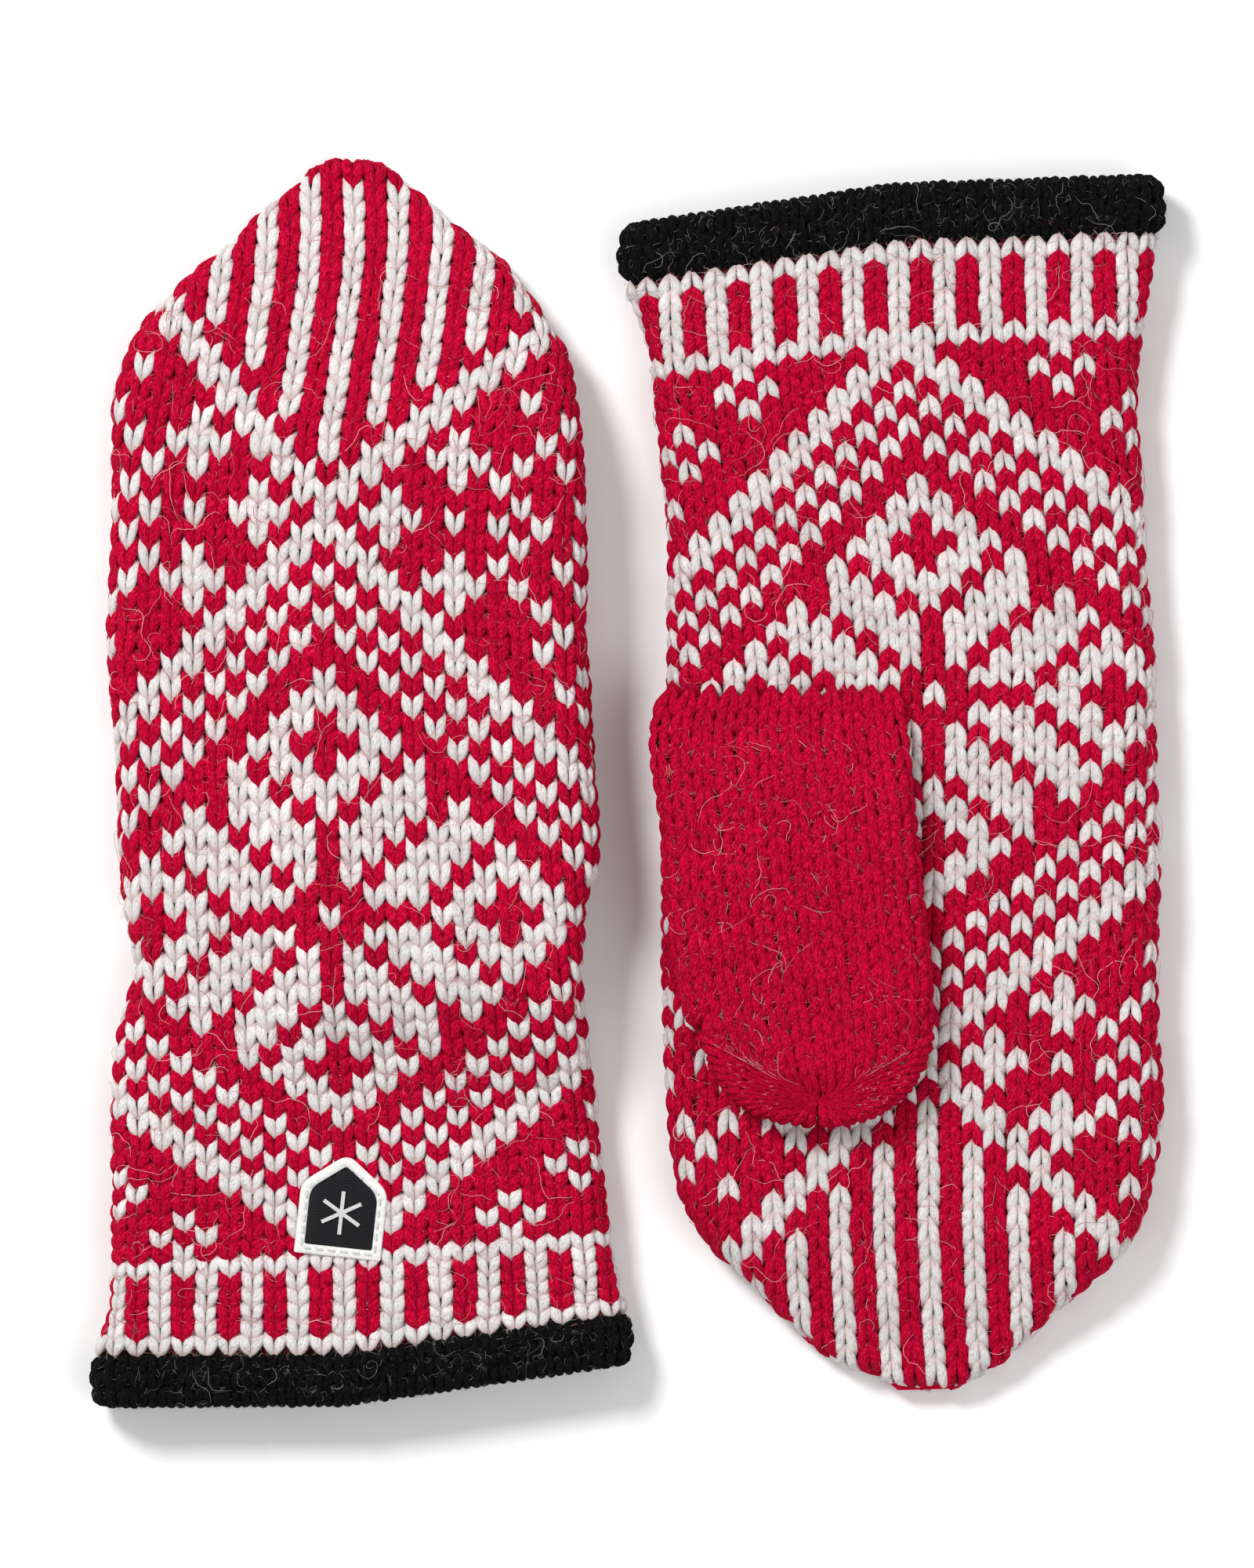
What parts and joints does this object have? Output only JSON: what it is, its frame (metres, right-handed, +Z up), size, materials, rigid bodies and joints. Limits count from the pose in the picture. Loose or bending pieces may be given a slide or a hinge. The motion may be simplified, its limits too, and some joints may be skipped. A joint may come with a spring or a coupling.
{
  "type": "pair of knitted mittens",
  "caption": "Pair of hand-knit-style wool mittens laid flat, colourwork hands in red and white, folded black cuffs, plain red thumbs that swing out from the palm.",
  "frame": {"origin": "middle of the pair's footprint, on the surface that the mittens lie on", "axes": "+Z up, away from that surface; +Y along the left mitten from its cuff to its fingertips; +X from the left mitten to the right one"},
  "size_m": [0.2276, 0.2652, 0.0261],
  "materials": {
    "colourwork_knit": "stranded stocking-stitch wool in crimson and off-white, soft and slightly hairy",
    "black_knit": "folded hem of black wool stocking stitch, matt",
    "red_knit": "stocking-stitch wool in crimson, matt and slightly hairy",
    "red_yarn": "crimson wool yarn drawn tight",
    "white_felt": "white felt edge, matt",
    "black_weave": "fine black woven cloth",
    "motif_thread": "pale embroidery thread, slightly glossy",
    "sewing_thread": "white sewing thread"
  },
  "bodies": {
    "right_mitten": {"right_hand_shell": "colourwork_knit", "right_cuff_band": "black_knit", "right_tip_yarn": "red_yarn"},
    "right_thumb_tube": {"right_thumb": "red_knit", "right_thumb_yarn": "red_yarn"},
    "left_mitten": {"left_hand_shell": "colourwork_knit", "left_cuff_band": "black_knit", "left_tip_yarn": "red_yarn", "label_rim": "white_felt", "label_field": "black_weave", "label_emblem": "motif_thread", "label_thread": "sewing_thread"},
    "left_thumb_tube": {"left_thumb": "red_knit", "left_thumb_yarn": "red_yarn"}
  },
  "joints": [
    {"name": "right_thumb_swing", "type": "hinge", "parent": "right_mitten", "child": "right_thumb_tube", "pos_m": [0.03414, 0.02145, 0.0156], "axis": [-0.9996, -0.0279, 0], "range_deg": [0, 80]},
    {"name": "left_mitten_lift", "type": "slide", "parent": "right_mitten", "child": "left_mitten", "axis": [0, 0, 1], "range_m": [0, 0.12]},
    {"name": "left_thumb_swing", "type": "hinge", "parent": "left_mitten", "child": "left_thumb_tube", "pos_m": [-0.03516, -0.02546, 0.0105], "axis": [-1, -0.0061, 0], "range_deg": [0, 80]}
  ]
}
